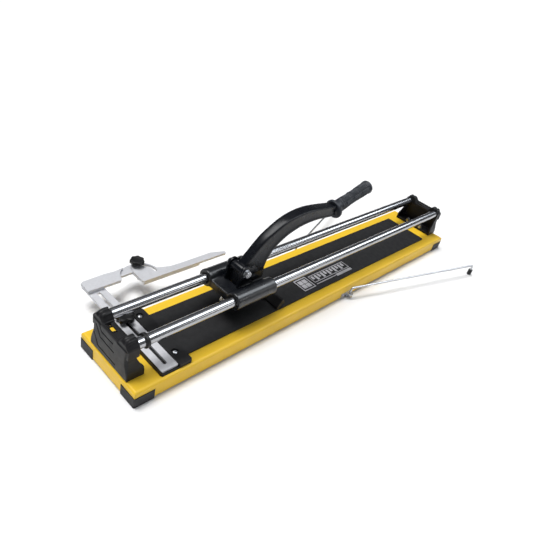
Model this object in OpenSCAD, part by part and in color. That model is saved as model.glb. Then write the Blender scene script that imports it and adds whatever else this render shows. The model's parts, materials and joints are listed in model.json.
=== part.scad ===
// Two-rail tile cutter. Every sub-part is drawn in the deck frame:
// x from the near end of the base, y across it, z above the tray's top face.

/* [Base] */
// Length of the base tray
base_l = 1005; // [960:5:1100]
// Width of the base tray
base_w = 165; // [160:1:180]
// Height of the tray's top face above the floor
deck_h = 33; // [30:1:38]
// Thickness of the tray's sheet steel
sheet_t = 1.5; // [1:0.1:2]
// Radius of the tray's rolled top edges
edge_r = 5; // [3:0.5:6]
// Thickness of the rubber mats
mat_t = 3; // [2:0.5:3]

/* [Rails] */
// Radius of each rail
rail_r = 10; // [8:0.5:10.5]
// Distance of each rail from the centre line
rail_y = 40.5; // [39:0.5:42]
// Height of the rail axes above the tray
rail_z = 61; // [60:0.5:64]

/* [Carriage and handle] */
// Outside radius of the sliding sleeves
sleeve_r = 17.5; // [16.5:0.5:18]
// Length of the sliding sleeves
sleeve_l = 101; // [90:1:105]
// Height of the handle's pivot above the tray
pivot_z = 97; // [96:1:99]
// Radius of the handle's pivot bolt
bolt_r = 4; // [3:0.5:4]
// Length of the grip, flange included
grip_l = 120; // [110:1:125]
// Slope of the grip
grip_tilt = 16.3; // [14:0.1:18]
// Radius of the scoring wheel
wheel_r = 11; // [9:0.5:11]
// Half length of the breaker foot
foot_half = 58; // [50:1:58]

/* [Measuring guide] */
// Width of the measuring bar
bar_w = 34; // [30:0.5:34]
// Thickness of the measuring bar
bar_t = 4; // [3:0.5:4]
// Front end of the measuring bar
bar_front = -72; // [-72:1:-60]
// Position of the clamping knob across the base
knob_y = 64; // [60:1:66]
// Reach of the angle arm from its pivot
arm_reach = 208; // [180:1:215]

/* [Support arms] */
// Length of each support arm
rod_l = 415; // [380:5:415]
// Radius of the support arm's rod
rod_r = 2.5; // [2:0.1:2.5]
// Angle of the front arm, outwards from the base's side
front_swing = 15.9; // [5:0.1:60]
// Angle of the back arm, outwards from the base's side
back_swing = 19.5; // [5:0.1:60]

/* [Hidden] */
$fn = 64;
fit = 0.05;
gap = 0.3;
t_side = base_w / 2;
skirt_z = -(deck_h - 3);
floor_z = -deck_h;
// The origin is the centre of the whole object's footprint, on the floor.
hinge_y = t_side + 7.5;
mid_y = rod_l * (sin(back_swing) - sin(front_swing)) / 2;

// Places of the fasteners
bracket_bolt_x = 28;
bracket_bolt_y = 20.5;
bolt_xs = [bracket_bolt_x, base_l - bracket_bolt_x];
m6_r = 3;
screw_r = 2.2;
block_screw_at = [[102.5, -46], [102.5, 61]];

// Measuring guide
block_x0 = 54;
block_x1 = 117.5;
block_h = 8;
block_half = 76.5;
bar_x0 = 56.6;
bar_z = 2.5;
bar_mid = bar_x0 + bar_w / 2;
slot_w = 7;
stud_r = 3;
head_top = 14;
head_z = 8.5;
arm_z = 9;
lug_z = 4;
lug_top = 8.7;
turn_at = [168, 156];
turn_r = 4;
pin_top = 12;
slot_r = 33;
lock_angle = 72.6;
lock_at = turn_at + slot_r * [cos(lock_angle), sin(lock_angle)];

// Carriage and handle
sleeve_x = 229;
pivot_x = 272;
web_x0 = 230;
lip_t = 5;
lip_z = 49;
throat_x = 262;
throat_half = 14;
ear_in = 15;
ear_t = 5;
ear_r = 14.5;
web_z = 60;
web_top = 66;
hub_half = 14.3;
bush_r = 6;
grip_at = [590, 179.2];
spigot_r = 8;
wheel_at = [pivot_x - 21.3, pivot_z - 72.9];
foot_at = [324, 41];
foot_pin_r = 3;
foot_boss_r = 7;
jaw_half = 12.5;
tongue_half = 8;

// Support arms
hinge_x_front = 566;
hinge_x_back = 569;
arm_sides = [[hinge_x_front, -1], [hinge_x_back, 1]];
rod_z = -5;
bend_r = 6;

module on_base() translate([-base_l / 2, -mid_y, deck_h]) children();
module both_sides() for (s = [-1, 1]) scale_y(s) children();
module scale_y(s) { if (s < 0) mirror([0, 1, 0]) children(); else children(); }
module far_end() translate([base_l, 0, 0]) mirror([1, 0, 0]) children();
module along_x(x, y, z, r, l) translate([x, y, z]) rotate([0, 90, 0]) cylinder(r = r, h = l);
module along_y(x, y, z, r, l) translate([x, y, z]) rotate([-90, 0, 0]) cylinder(r = r, h = l);
module side_extrude(y0, y1) translate([0, y1, 0]) rotate([90, 0, 0]) linear_extrude(y1 - y0) children();
module end_extrude(x0, x1) translate([x0, 0, 0]) rotate([90, 0, 90]) linear_extrude(x1 - x0) children();

function arc(c, r, a0, a1, n = 12) =
    [for (i = [0:n]) let (a = a0 + (a1 - a0) * i / n) c + r * [cos(a), sin(a)]];

module rounded_rect(x0, y0, x1, y1, r) polygon(concat(
    arc([x0 + r, y0 + r], r, 180, 270), arc([x1 - r, y0 + r], r, 270, 360),
    arc([x1 - r, y1 - r], r, 0, 90), arc([x0 + r, y1 - r], r, 90, 180)));
module slot_2d(x, y0, y1, w) {
    translate([x - w / 2, y0 + w / 2]) square([w, y1 - y0 - w]);
    translate([x, y0 + w / 2]) circle(w / 2);
    translate([x, y1 - w / 2]) circle(w / 2);
}

// ---- Base ----

// A box whose top edges are rolled to radius r: two crossed extrusions.
module rolled_box(x0, x1, half, z0, z1, r) intersection() {
    side_extrude(-half - 1, half + 1) polygon(concat([[x0, z0], [x1, z0]],
        arc([x1 - r, z1 - r], r, 0, 90, 8), arc([x0 + r, z1 - r], r, 90, 180, 8)));
    end_extrude(x0 - 1, x1 + 1) polygon(concat([[-half, z0], [half, z0]],
        arc([half - r, z1 - r], r, 0, 90, 8), arc([-half + r, z1 - r], r, 90, 180, 8)));
}

module base_tray() color([0.93, 0.71, 0.08]) on_base() difference() {
    rolled_box(0, base_l, t_side, skirt_z, 0, edge_r);
    rolled_box(sheet_t, base_l - sheet_t, t_side - sheet_t, skirt_z - 1, -sheet_t, edge_r - sheet_t);
    for (x = bolt_xs, s = [-1, 1]) translate([x, s * bracket_bolt_y, -5]) cylinder(r = m6_r + gap, h = 10);
    for (p = block_screw_at) translate([p[0], p[1], -5]) cylinder(r = screw_r + gap, h = 10);
    for (side = arm_sides, x = rivet_xs)
        along_y(side[0] + x, side[1] * t_side - 5, rivet_z, rivet_r + fit, 10);
}

foot_l = 40;
foot_out = 1.3;
foot_wall = 6;
foot_top = -12;
module corner_foot() difference() {
    translate([0, 0, floor_z]) linear_extrude(foot_top - floor_z) difference() {
        rounded_rect(-foot_out, -foot_out, foot_l, foot_l, 3);
        translate([sheet_t + foot_wall, sheet_t + foot_wall]) square(foot_l);
    }
    translate([0, 0, skirt_z]) linear_extrude(deck_h) difference() {
        square(foot_l + 1);
        translate([sheet_t, sheet_t]) square(foot_l + 1);
    }
}
module corner_feet() color([0.12, 0.12, 0.13]) on_base() for (far = [0, 1]) both_sides()
    translate([far * base_l, -t_side, 0]) mirror([far, 0, 0]) corner_foot();

mat_x0 = 120;
mat_x1 = 933.5;
mat_y0 = 4;
mat_y1 = 58.3;
module mat() linear_extrude(mat_t) rounded_rect(mat_x0, mat_y0, mat_x1, mat_y1, 2);
module mat_front() color([0.15, 0.15, 0.16]) on_base() mirror([0, 1, 0]) mat();
module mat_back() color([0.15, 0.15, 0.16]) on_base() mat();

rib_half = 3;
rib_h = 3.1;
module breaker_rib() color([0.55, 0.56, 0.58]) on_base() end_extrude(mat_x0, mat_x1)
    polygon(concat([[-rib_half, 0], [rib_half, 0]], arc([0, rib_h - 5], 5, 60, 120, 6)));

// ---- End brackets ----

boss_x1 = 25;
// One rail boss, seen from the end
boss_outline = [[53, 45], [53, 62], [51.5, 66.5], [46.5, 71], [44.5, 75.5], [41, 76.8], [31, 76.4],
    [28.5, 74.2], [22.5, 66], [20.5, 64.5], [20, 58]];
flange_x1 = 35;
flange_h = 6;
wall_x0 = 1.5;
boss_x0 = wall_x0 + 0.5;
wall_x1 = 5;
// Half of the bracket's end outline, from the foot up to the valley between the bosses
valley_z = 61;
half_outline = [[55, 0], [55, 14], [51, 35], [50.3, 49], [52.8, valley_z], [22, valley_z]];
function mirrored(p) = [for (i = [len(p) - 1:-1:0]) [-p[i][0], p[i][1]]];
function inset_outline(in) =
    [for (p = half_outline) [p[0] - in, max(min(p[1], valley_z - in), in > 0 ? flange_h : 0)]];
module bracket_outline(in) polygon(concat(inset_outline(in), mirrored(inset_outline(in))));
module bracket_side() polygon([[wall_x0, 0], [flange_x1, 0], [flange_x1, 18], [28.5, 26], [21, 42], [21, 52],
    [23, 70], [wall_x0, 70]]);

module bracket() difference() {
    union() {
        intersection() {
            end_extrude(0, flange_x1 + 1) bracket_outline(0);
            side_extrude(-60, 60) bracket_side();
        }
        both_sides() end_extrude(boss_x0, boss_x1) polygon(boss_outline);
    }
    end_extrude(wall_x1, flange_x1 + 1) bracket_outline(4);
    for (s = [-1, 1]) along_x(rail_x0 - 0.1, s * rail_y, rail_z, rail_r + fit, boss_x1);
    for (s = [-1, 1]) translate([bracket_bolt_x, s * bracket_bolt_y, -1])
        cylinder(r = m6_r + gap, h = flange_h + 2);
}
module bracket_near() color([0.16, 0.16, 0.17]) on_base() bracket();
module bracket_far() color([0.16, 0.16, 0.17]) on_base() far_end() bracket();

washer_t = 1.6;
nut_h = 5;
module at_bracket_bolts() on_base() for (x = bolt_xs, s = [-1, 1])
    translate([x, s * bracket_bolt_y, 0]) children();
module ring(r_in, r_out, h) difference() {
    cylinder(r = r_out, h = h);
    translate([0, 0, -1]) cylinder(r = r_in, h = h + 2);
}
module bracket_bolts() color([0.75, 0.75, 0.77]) at_bracket_bolts() {
    translate([0, 0, -sheet_t - 4]) cylinder(r = 5.8, h = 4, $fn = 6);
    translate([0, 0, -sheet_t - 1]) cylinder(r = m6_r, h = sheet_t + 1 + flange_h + washer_t + nut_h + 3);
}
module bracket_washers() color([0.8, 0.8, 0.82]) at_bracket_bolts()
    translate([0, 0, flange_h]) ring(m6_r + fit, 6.5, washer_t);
module bracket_nuts() color([0.8, 0.8, 0.82]) at_bracket_bolts()
    translate([0, 0, flange_h + washer_t]) difference() {
        cylinder(r = 5.8, h = nut_h, $fn = 6);
        translate([0, 0, -1]) cylinder(r = m6_r + fit, h = nut_h + 2);
    }

// ---- Rails ----

rail_x0 = 9;
rail_wall = 2;
module rail() difference() {
    along_x(rail_x0, 0, 0, rail_r, base_l - 2 * rail_x0);
    along_x(rail_x0 - 1, 0, 0, rail_r - rail_wall, base_l);
}
module rail_front() color([0.85, 0.86, 0.88]) on_base() translate([0, -rail_y, rail_z]) rail();
module rail_back() color([0.85, 0.86, 0.88]) on_base() translate([0, rail_y, rail_z]) rail();

ring_x = 37.5;
ring_w = 7;
ring_t = 3.5;
module stop_ring() color([0.1, 0.1, 0.1]) on_base() translate([ring_x, -rail_y, rail_z]) rotate([0, 90, 0])
    rotate_extrude() polygon(concat([[rail_r, 0]], arc([rail_r + ring_t - 1.5, 1.5], 1.5, -90, 0, 4),
        arc([rail_r + ring_t - 1.5, ring_w - 1.5], 1.5, 0, 90, 4), [[rail_r, ring_w]]));

// ---- Block that guides the measuring bar ----

rebate_z = 2.2;
recess_h = 3.4;
lip_x = bar_x0 - gap;
module fence_block() color([0.13, 0.13, 0.14]) on_base() difference() {
    linear_extrude(block_h) rounded_rect(block_x0, -block_half, block_x1, block_half, 4);
    translate([lip_x, -100, rebate_z]) cube([bar_w + 2 * gap, 200, 20]);
    for (p = block_screw_at) translate([p[0], p[1], -1]) {
        cylinder(r = screw_r + fit, h = 20);
        translate([0, 0, 1 + block_h - recess_h]) cylinder(r = 7, h = 20);
    }
    translate([bar_mid, knob_y, -1]) cylinder(r = stud_r + fit, h = 20);
}
module block_screws() color([0.8, 0.8, 0.8]) on_base() for (p = block_screw_at) translate([p[0], p[1], 0]) {
    translate([0, 0, -sheet_t - 6]) cylinder(r = screw_r, h = sheet_t + 6 + block_h - 3);
    translate([0, 0, block_h - recess_h]) cylinder(r1 = 4.8, r2 = 3.6, h = 3);
}
clamp_top = 14;
module clamp_stud() color([0.75, 0.75, 0.77]) on_base() translate([bar_mid, knob_y, 0])
    cylinder(r = stud_r, h = clamp_top);

// ---- Hinge brackets of the support arms ----

tab_x0 = -24;
tab_x1 = 15;
tab_zs = [-30, -21];
tab_t = 2;
rivet_xs = [-18, 9];
rivet_z = tab_zs[0] + 5.5;
rivet_r = 1.5;
module arm_bracket() {
    difference() {
        translate([tab_x0, t_side, tab_zs[0]]) cube([tab_x1 - tab_x0, tab_t, 11]);
        for (x = rivet_xs) along_y(x, t_side - 1, rivet_z, rivet_r + fit, 5);
    }
    for (z = tab_zs) translate([0, 0, z]) linear_extrude(tab_t) difference() {
        union() {
            translate([-7, t_side]) square([14, 7.5]);
            translate([0, hinge_y]) circle(7);
        }
        translate([0, hinge_y]) circle(rod_r + fit);
    }
}
module arm_bracket_front() color([0.7, 0.71, 0.72]) on_base() translate([hinge_x_front, 0, 0])
    mirror([0, 1, 0]) arm_bracket();
module arm_bracket_back() color([0.7, 0.71, 0.72]) on_base() translate([hinge_x_back, 0, 0]) arm_bracket();
module bracket_rivet() {
    along_y(0, t_side + tab_t, 0, 3, 1.6);
    along_y(0, t_side - 3, 0, rivet_r, 6);
}
module arm_bracket_rivets() color([0.6, 0.6, 0.62]) on_base() for (side = arm_sides, x = rivet_xs)
    translate([side[0] + x, 0, rivet_z]) scale_y(side[1]) bracket_rivet();

// ---- Carriage ----

module ear_shape() difference() {
    union() {
        polygon([[pivot_x - 16, web_top - 1], [pivot_x + 26, web_top - 1], [pivot_x + 26, web_top + 4],
            [pivot_x + 14, pivot_z - 14], [pivot_x + ear_r, pivot_z], [pivot_x - ear_r, pivot_z],
            [pivot_x - 13.5, pivot_z - 14]]);
        translate([pivot_x, pivot_z]) circle(ear_r);
        translate([pivot_x + 9, pivot_z - 4]) square([13, 11]);
    }
    translate([pivot_x, pivot_z]) circle(bolt_r + fit);
}
module carriage_body() color([0.05, 0.05, 0.06]) on_base() difference() {
    union() {
        for (s = [-1, 1]) along_x(sleeve_x, s * rail_y, rail_z, sleeve_r, sleeve_l);
        difference() {
            translate([web_x0, -rail_y, web_z])
                cube([sleeve_x + sleeve_l - web_x0, 2 * rail_y, web_top - web_z]);
            translate([throat_x, -throat_half, web_z - 1]) cube([200, 2 * throat_half, 20]);
        }
        translate([web_x0, -rail_y, lip_z]) cube([lip_t, 2 * rail_y, web_top - lip_z]);
        for (s = [-1, 1]) scale_y(s) {
            side_extrude(ear_in, ear_in + ear_t) ear_shape();
            translate([pivot_x - 17, ear_in, web_top - 1]) cube([43, 8, 5]);
        }
    }
    for (s = [-1, 1]) along_x(sleeve_x - 1, s * rail_y, rail_z, bush_out, sleeve_l + 2);
}
bush_out = rail_r + 2.5;
bush_l = 22;
seal_l = 4;
// A ring of length l lying inset from each end of both sleeves
module in_sleeve_ends(inset, l) for (s = [-1, 1], e = [0, 1])
    translate([sleeve_x + inset + e * (sleeve_l - l - 2 * inset), s * rail_y, rail_z]) rotate([0, 90, 0])
        ring(rail_r + fit, bush_out, l);
module slide_bushes() color([0.75, 0.6, 0.35]) on_base() in_sleeve_ends(seal_l + 1, bush_l);
module wiper_seals() color([0.1, 0.1, 0.1]) on_base() in_sleeve_ends(0.8, seal_l);

ear_out = ear_in + ear_t;
pivot_end = 29.5;
module pivot_bolt() color([0.7, 0.7, 0.72]) on_base() {
    along_y(pivot_x, -pivot_end, pivot_z, bolt_r, pivot_end + ear_out + washer_t + 1);
    translate([pivot_x, ear_out + washer_t, pivot_z]) rotate([-90, 0, 0])
        cylinder(r = 7.5, h = 5.3, $fn = 6);
}
module pivot_washers() color([0.75, 0.75, 0.77]) on_base() both_sides()
    translate([pivot_x, ear_out, pivot_z]) rotate([-90, 0, 0]) ring(bolt_r + fit, 8, washer_t);
module pivot_nut() color([0.7, 0.7, 0.72]) on_base() translate([pivot_x, -ear_out - washer_t, pivot_z])
    rotate([90, 0, 0]) difference() {
        cylinder(r = 7.5, h = 6.5, $fn = 6);
        translate([0, 0, -1]) cylinder(r = bolt_r + fit, h = 9);
    }

// ---- Handle ----

// Stations of the curved arm: top point, bottom point and half width
stations = [
    [[287, 116.5], [333, 67], 10.8],
    [[298, 128.8], [334, 85], 10.6],
    [[308, 139.4], [338, 101], 10.6],
    [[322, 151.9], [344, 113.5], 10.9],
    [[338, 162], [354, 125.5], 11.2],
    [[355, 171.5], [368, 136.5], 11.5],
    [[374, 179.3], [384, 145.5], 11.8],
    [[396, 184.4], [402, 152], 12],
    [[420, 187], [422, 156.5], 12],
    [[447, 186.6], [446, 158.6], 12],
    [[474, 183.5], [472, 158], 12],
    [[500, 180], [499, 155.2], 11.8],
    [[524, 176.4], [526, 152.5], 11.5]
];
// Cross-section from the flat top to the bottom bead: [fraction of depth, fraction of half width]
section = [[0, 0.75], [0.04, 0.95], [0.12, 1], [0.5, 0.9], [0.86, 1], [1, 0.85]];
ring_n = 2 * len(section);
function on_station(s, k) = let (side = k < len(section) ? 1 : -1,
    q = section[k < len(section) ? k : ring_n - 1 - k], p = s[0] + (s[1] - s[0]) * q[0])
    [p[0], side * s[2] * q[1], p[1]];
module handle_curve() polyhedron(
    points = [for (s = stations, k = [0:ring_n - 1]) on_station(s, k)],
    faces = concat(
        [for (i = [0:len(stations) - 2], k = [0:ring_n - 1]) let (a = i * ring_n, n = (k + 1) % ring_n)
            [a + k, a + n, a + ring_n + n, a + ring_n + k]],
        [[for (k = [ring_n - 1:-1:0]) k]],
        [[for (k = [0:ring_n - 1]) (len(stations) - 1) * ring_n + k]]),
    convexity = 6);

module jaw_shape() polygon(concat(
    [[248.5, 41], [250, 54.5], [264.4, 58], [264.4, 88]], arc([pivot_x, pivot_z], 13.8, 150, 70, 8),
    [[286, 115.5], [302, 108], [336, 72], [332, 62], [331, 36]], arc(foot_at, foot_boss_r, -35, -145, 6),
    [[308, 50], [270, 44], [257, 37.5]]));
// The jaw narrows to its tongue inside this window round the foot's pin
module tongue_window() translate(foot_at - [30, 12]) square([40, 26]);

module at_grip() translate([grip_at[0], 0, grip_at[1]]) rotate([0, 90 - grip_tilt, 0]) children();
grip_s0 = -64;
module handle_arm() color([0.05, 0.05, 0.06]) on_base() difference() {
    union() {
        handle_curve();
        side_extrude(-jaw_half, jaw_half) difference() {
            jaw_shape();
            tongue_window();
        }
        side_extrude(-tongue_half, tongue_half) intersection() {
            jaw_shape();
            tongue_window();
        }
        along_y(pivot_x, -hub_half, pivot_z, 13, 2 * hub_half);
        at_grip() translate([0, 0, grip_s0 - 4]) cylinder(r = spigot_r, h = grip_l - 16);
    }
    along_y(pivot_x, -20, pivot_z, bush_r, 40);
    along_y(foot_at[0], -20, foot_at[1], foot_pin_r, 40);
    at_wheel() along_y(0, -20, holder_screw_z, screw_r, 40);
    at_wheel() translate([-12, -holder_half - 0.1, 14]) cube([22, 2 * holder_half + 0.2, holder_l - 13.9]);
}
module pivot_bush() color([0.78, 0.62, 0.36]) on_base()
    translate([pivot_x, -hub_half, pivot_z]) rotate([-90, 0, 0]) ring(bolt_r + fit, bush_r, 2 * hub_half);

module grip() color([0.2, 0.2, 0.22]) on_base() at_grip() translate([0, 0, grip_s0]) difference() {
    rotate_extrude() polygon(concat([[0, 0]], arc([18.5, 3], 3, -90, 0, 4), arc([18.5, 5], 3, 0, 60, 4),
        [[16, 11], [14.5, 14], [14, 24], [13.4, 45], [13.4, 78], [14.2, 96]],
        arc([10, grip_l - 6], 5.6, 0, 90, 6), [[0, grip_l]]));
    translate([0, 0, -1]) cylinder(r = spigot_r + fit, h = grip_l - 18);
}

// ---- Scoring wheel and its holder ----

holder_lean = 16.3;
holder_half = 6;
holder_l = 30;
holder_screw_z = 22;
fork_gap = 3.4;
axle_r = 3;
module at_wheel() translate([wheel_at[0], 0, wheel_at[1]]) rotate([0, holder_lean, 0]) children();
module wheel_holder() color([0.6, 0.61, 0.63]) on_base() at_wheel() difference() {
    side_extrude(-holder_half, holder_half) difference() {
        union() {
            circle(8);
            translate([-8, 0]) square([16, holder_l]);
        }
        circle(axle_r + fit);
        translate([0, holder_screw_z]) circle(screw_r + fit);
    }
    translate([-20, -fork_gap / 2, -20]) cube([40, fork_gap, 33]);
}
module holder_screw() color([0.5, 0.5, 0.52]) on_base() at_wheel() {
    along_y(0, -11, holder_screw_z, screw_r, 22 + 3);
    along_y(0, jaw_half, holder_screw_z, 4, 3);
}
module wheel_axle() color([0.7, 0.7, 0.72]) on_base() at_wheel() {
    along_y(0, -holder_half - 2, 0, axle_r, 2 * holder_half + 2.5);
    along_y(0, holder_half, 0, 4.5, 2);
}
wheel_half = 1.5;
wheel_bevel = 2.2;
module scoring_wheel() color([0.8, 0.8, 0.82]) on_base() at_wheel()
    translate([0, -wheel_half, 0]) rotate([-90, 0, 0]) rotate_extrude()
        polygon([[axle_r + fit, 0], [wheel_r - wheel_bevel, 0], [wheel_r, wheel_half],
            [wheel_r - wheel_bevel, 2 * wheel_half], [axle_r + fit, 2 * wheel_half]]);

// ---- Breaker foot ----

lug_in = 8.5;
lug_out = 13.2;
module foot_pin() color([0.7, 0.7, 0.72]) on_base() {
    along_y(foot_at[0], -lug_out - 1, foot_at[1], foot_pin_r, 2 * lug_out + 1.5);
    along_y(foot_at[0], lug_out + 0.2, foot_at[1], 5, 1.3);
}
module breaker_foot() color([0.08, 0.08, 0.09]) on_base() {
    side_extrude(-foot_half, foot_half) polygon([[346.5, 3.8], [351.5, 3.5], [367, 15], [361, 23.5],
        [357, 22.5], [346, 8]]);
    both_sides() side_extrude(lug_in, lug_out) difference() {
        union() {
            translate(foot_at) circle(foot_boss_r);
            polygon([foot_at + [3, 6.3], [359, 21], [350, 9], foot_at + [-3, -6.3]]);
        }
        translate(foot_at) circle(foot_pin_r + fit);
    }
}

// ---- Measuring guide ----

bar_x1 = bar_x0 + bar_w;
step_r = 40.8;
head_y = 158.5;
module head_shape() difference() {
    polygon([[55, head_y], [124, head_y], [127, 162], [150, 190], [147, 192], [128, 189], [108, 191],
        [61, 189], [55, 186]]);
    translate(turn_at) circle(step_r);
}
module lug_shape() difference() {
    union() {
        polygon([[120, 168], [136, 175.5], [160.5, 175.5], turn_at + [-7, -5], turn_at + [8.5, 0],
            lock_at + [10, -3], lock_at + [6, 11], [163, 199], [128, 189], [116, 180]]);
        translate(turn_at) circle(8.5);
        translate(lock_at) circle(11.5);
    }
    translate(lock_at) circle(stud_r + fit);
}
module guide_bar() color([0.78, 0.78, 0.8]) on_base() {
    translate([0, 0, bar_z]) linear_extrude(bar_t) difference() {
        rounded_rect(bar_x0, bar_front, bar_x1, 187, 1.5);
        slot_2d(bar_mid, bar_front + 11.5, 154, slot_w);
    }
    translate([0, 0, bar_z]) linear_extrude(head_top - bar_z)
        polygon([[bar_x0, head_y], [88, head_y], [88, 187.5], [62, 187.5], [bar_x0, 185]]);
    translate([0, 0, head_z]) linear_extrude(head_top - head_z) head_shape();
    translate([0, 0, lug_z]) linear_extrude(lug_top - lug_z) lug_shape();
}
module arm_pivot_pin() color([0.75, 0.75, 0.78]) on_base() translate([turn_at[0], turn_at[1], lug_top])
    cylinder(r = turn_r, h = pin_top - lug_top);
module clamp_washer() color([0.75, 0.75, 0.77]) on_base() translate([bar_mid, knob_y, bar_z + bar_t + 0.2])
    ring(stud_r + fit, 8, 1.5);

knob_z = bar_z + bar_t + 2;
knob_h = 12;
head_rise = 3;
lobe_at = 14;
lobe_r = 4.5;
module clamp_knob() color([0.1, 0.1, 0.1]) on_base() translate([bar_mid, knob_y, knob_z]) difference() {
    union() {
        cylinder(r = 7.5, h = knob_h);
        translate([0, 0, head_rise]) linear_extrude(knob_h - head_rise) {
            circle(12.5);
            for (a = [0:72:288]) rotate(a) {
                translate([lobe_at, 0]) circle(lobe_r);
                translate([0, -lobe_r]) square([lobe_at, 2 * lobe_r]);
            }
        }
    }
    translate([0, 0, -1]) cylinder(r = stud_r + fit, h = clamp_top - knob_z + 1.3);
}

slot_half = 3.4;
slot_a0 = -2;
slot_a1 = 77;
arm_end = turn_at[0] + arm_reach;
module arc_slot() {
    polygon(concat(arc(turn_at, slot_r - slot_half, slot_a0, slot_a1, 16),
        arc(turn_at, slot_r + slot_half, slot_a1, slot_a0, 16)));
    for (a = [slot_a0, slot_a1]) translate(turn_at + slot_r * [cos(a), sin(a)]) circle(slot_half);
}
module arm_shape() difference() {
    polygon(concat([[159, 136.5], [162, 135]], [[arm_end - 8, 135]], arc([arm_end - 5, 139], 4, -90, 40, 6),
        [[353, 148.5], [342, 152], [259, 151.5], [234.5, 152.6], [215, 158.5]],
        arc(turn_at, 39.8, 8, 88, 12), [[162, 180], [159, 172]]));
    arc_slot();
}
module angle_arm() color([0.8, 0.8, 0.82]) on_base() difference() {
    union() {
        translate([0, 0, arm_z]) linear_extrude(head_top - arm_z) arm_shape();
        translate([0, 0, 4.6]) linear_extrude(head_top - 5)
            polygon([[161, 135], [300, 135], [225, 139.5], [161, 139.5]]);
    }
    translate([turn_at[0], turn_at[1], arm_z - 1]) cylinder(r = turn_r + fit, h = pin_top + gap - arm_z + 1);
}

star_r = 15;
star_z = head_top + 1.7;
module star_washer() color([0.75, 0.75, 0.77]) on_base() translate([lock_at[0], lock_at[1], head_top + 0.2])
    ring(stud_r + fit, 7.5, 1.2);
module star_stud() color([0.75, 0.75, 0.77]) on_base() translate([lock_at[0], lock_at[1], lug_z + 0.2])
    cylinder(r = stud_r, h = star_z + 8 - lug_z);
module star_knob() color([0.1, 0.1, 0.1]) on_base()
    translate([lock_at[0], lock_at[1], star_z]) difference() {
    union() {
        cylinder(r = 7, h = knob_h);
        translate([0, 0, head_rise]) linear_extrude(knob_h - head_rise) difference() {
            circle(star_r);
            for (a = [0:60:300]) rotate(a) translate([star_r + 2.2, 0]) circle(4);
        }
    }
    translate([0, 0, -1]) cylinder(r = stud_r, h = 9.2);
}

// ---- Support arms ----

module quarter_bend() rotate_extrude(angle = 90) translate([bend_r, 0]) circle(rod_r);
cap_r = 5.5;
cap_h = 14;
pin_bottom = tab_zs[0] - 1.5;
// The arm drawn pointing along +x, its hinge axis at the local origin
module rod() {
    translate([0, 0, pin_bottom]) cylinder(r = rod_r, h = rod_z - bend_r - pin_bottom);
    translate([bend_r, 0, rod_z - bend_r]) rotate([-90, 0, 0]) rotate([0, 0, 180]) quarter_bend();
    along_x(bend_r, 0, rod_z, rod_r, rod_l - 2 * bend_r);
    translate([rod_l - bend_r, 0, rod_z - bend_r]) rotate([-90, 0, 0]) rotate([0, 0, -90]) quarter_bend();
    translate([rod_l, 0, floor_z + 3]) cylinder(r = rod_r, h = rod_z - bend_r - floor_z - 3);
}
module cap() translate([rod_l, 0, floor_z]) difference() {
    cylinder(r = cap_r, h = cap_h);
    translate([0, 0, 3]) cylinder(r = rod_r, h = cap_h);
}
module clip() translate([0, 0, pin_bottom]) ring(rod_r, 4.5, 1);
module on_hinge_front() on_base()
    translate([hinge_x_front, -hinge_y, 0]) rotate([0, 0, -front_swing]) children();
module on_hinge_back() on_base()
    translate([hinge_x_back, hinge_y, 0]) rotate([0, 0, back_swing]) children();
module support_rod_front() color([0.75, 0.76, 0.78]) on_hinge_front() rod();
module support_rod_back() color([0.75, 0.76, 0.78]) on_hinge_back() rod();
module support_cap_front() color([0.1, 0.1, 0.1]) on_hinge_front() cap();
module support_cap_back() color([0.1, 0.1, 0.1]) on_hinge_back() cap();
module support_clip_front() color([0.6, 0.6, 0.62]) on_hinge_front() clip();
module support_clip_back() color([0.6, 0.6, 0.62]) on_hinge_back() clip();

base_tray();
corner_feet();
mat_front();
mat_back();
breaker_rib();
bracket_near();
bracket_far();
bracket_bolts();
bracket_nuts();
bracket_washers();
rail_front();
rail_back();
stop_ring();
fence_block();
block_screws();
clamp_stud();
arm_bracket_front();
arm_bracket_back();
arm_bracket_rivets();
carriage_body();
slide_bushes();
wiper_seals();
pivot_bolt();
pivot_nut();
pivot_washers();
handle_arm();
pivot_bush();
grip();
wheel_holder();
holder_screw();
wheel_axle();
scoring_wheel();
foot_pin();
breaker_foot();
guide_bar();
arm_pivot_pin();
clamp_washer();
clamp_knob();
angle_arm();
star_knob();
star_stud();
star_washer();
support_rod_front();
support_rod_back();
support_cap_front();
support_cap_back();
support_clip_front();
support_clip_back();
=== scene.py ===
"""Looks of the two-rail tile cutter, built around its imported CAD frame. Metres, +Z up."""
import json
import math

import bmesh
import bpy
from mathutils import Matrix, Vector


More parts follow.
